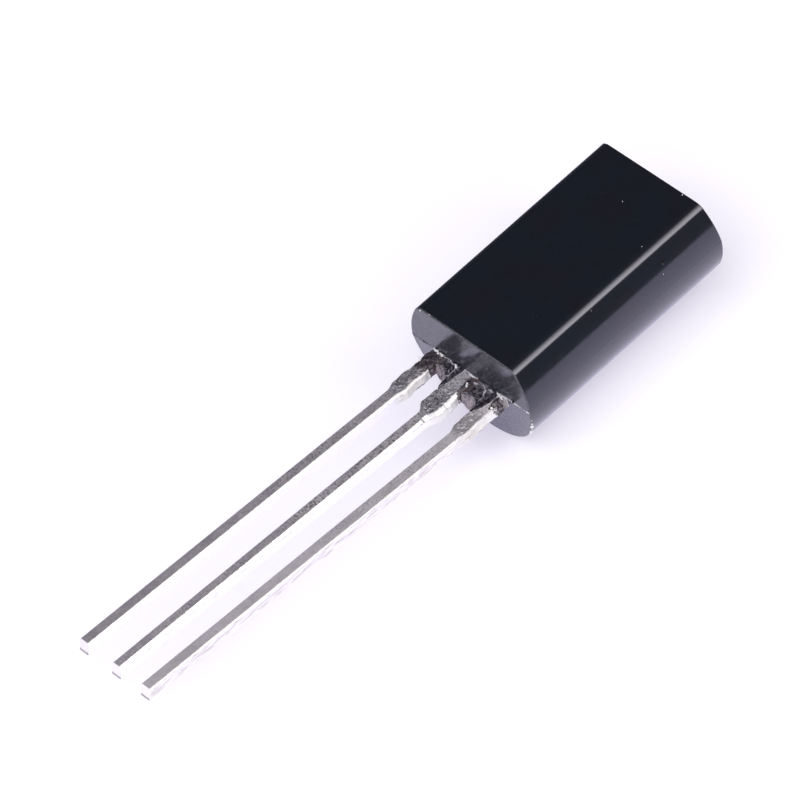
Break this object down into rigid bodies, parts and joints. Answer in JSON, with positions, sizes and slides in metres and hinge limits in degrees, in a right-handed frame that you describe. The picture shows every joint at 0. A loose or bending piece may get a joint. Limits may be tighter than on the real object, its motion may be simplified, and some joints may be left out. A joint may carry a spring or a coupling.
{
  "type": "to-92 transistor",
  "caption": "Through-hole transistor: a long D-shaped moulded black case on a row of straight tinned leads, for switching or amplifying current on a circuit board.",
  "frame": {"origin": "on the surface that the part lies on, under the middle of the whole part with its leads", "axes": "+Z out of the flat face, +Y along the case and away from the leads, +X along the row of leads towards the base lead, on the right when the flat face is seen with the leads pointing down"},
  "size_m": [0.005, 0.022, 0.0039],
  "materials": {
    "moulded_resin": "moulded epoxy, glossy blue-black, finely pitted",
    "tinned_lead": "matte tin plate, granular, with resin residue near the case",
    "silicon": "polished silicon",
    "solder": "dull solder",
    "bond_wire": "bright drawn wire"
  },
  "bodies": {
    "root": {"body": "moulded_resin", "emitter_lead": "tinned_lead", "collector_lead": "tinned_lead", "base_lead": "tinned_lead", "die": "silicon", "die_solder": "solder", "emitter_wire": "bond_wire", "base_wire": "bond_wire"}
  },
  "joints": []
}
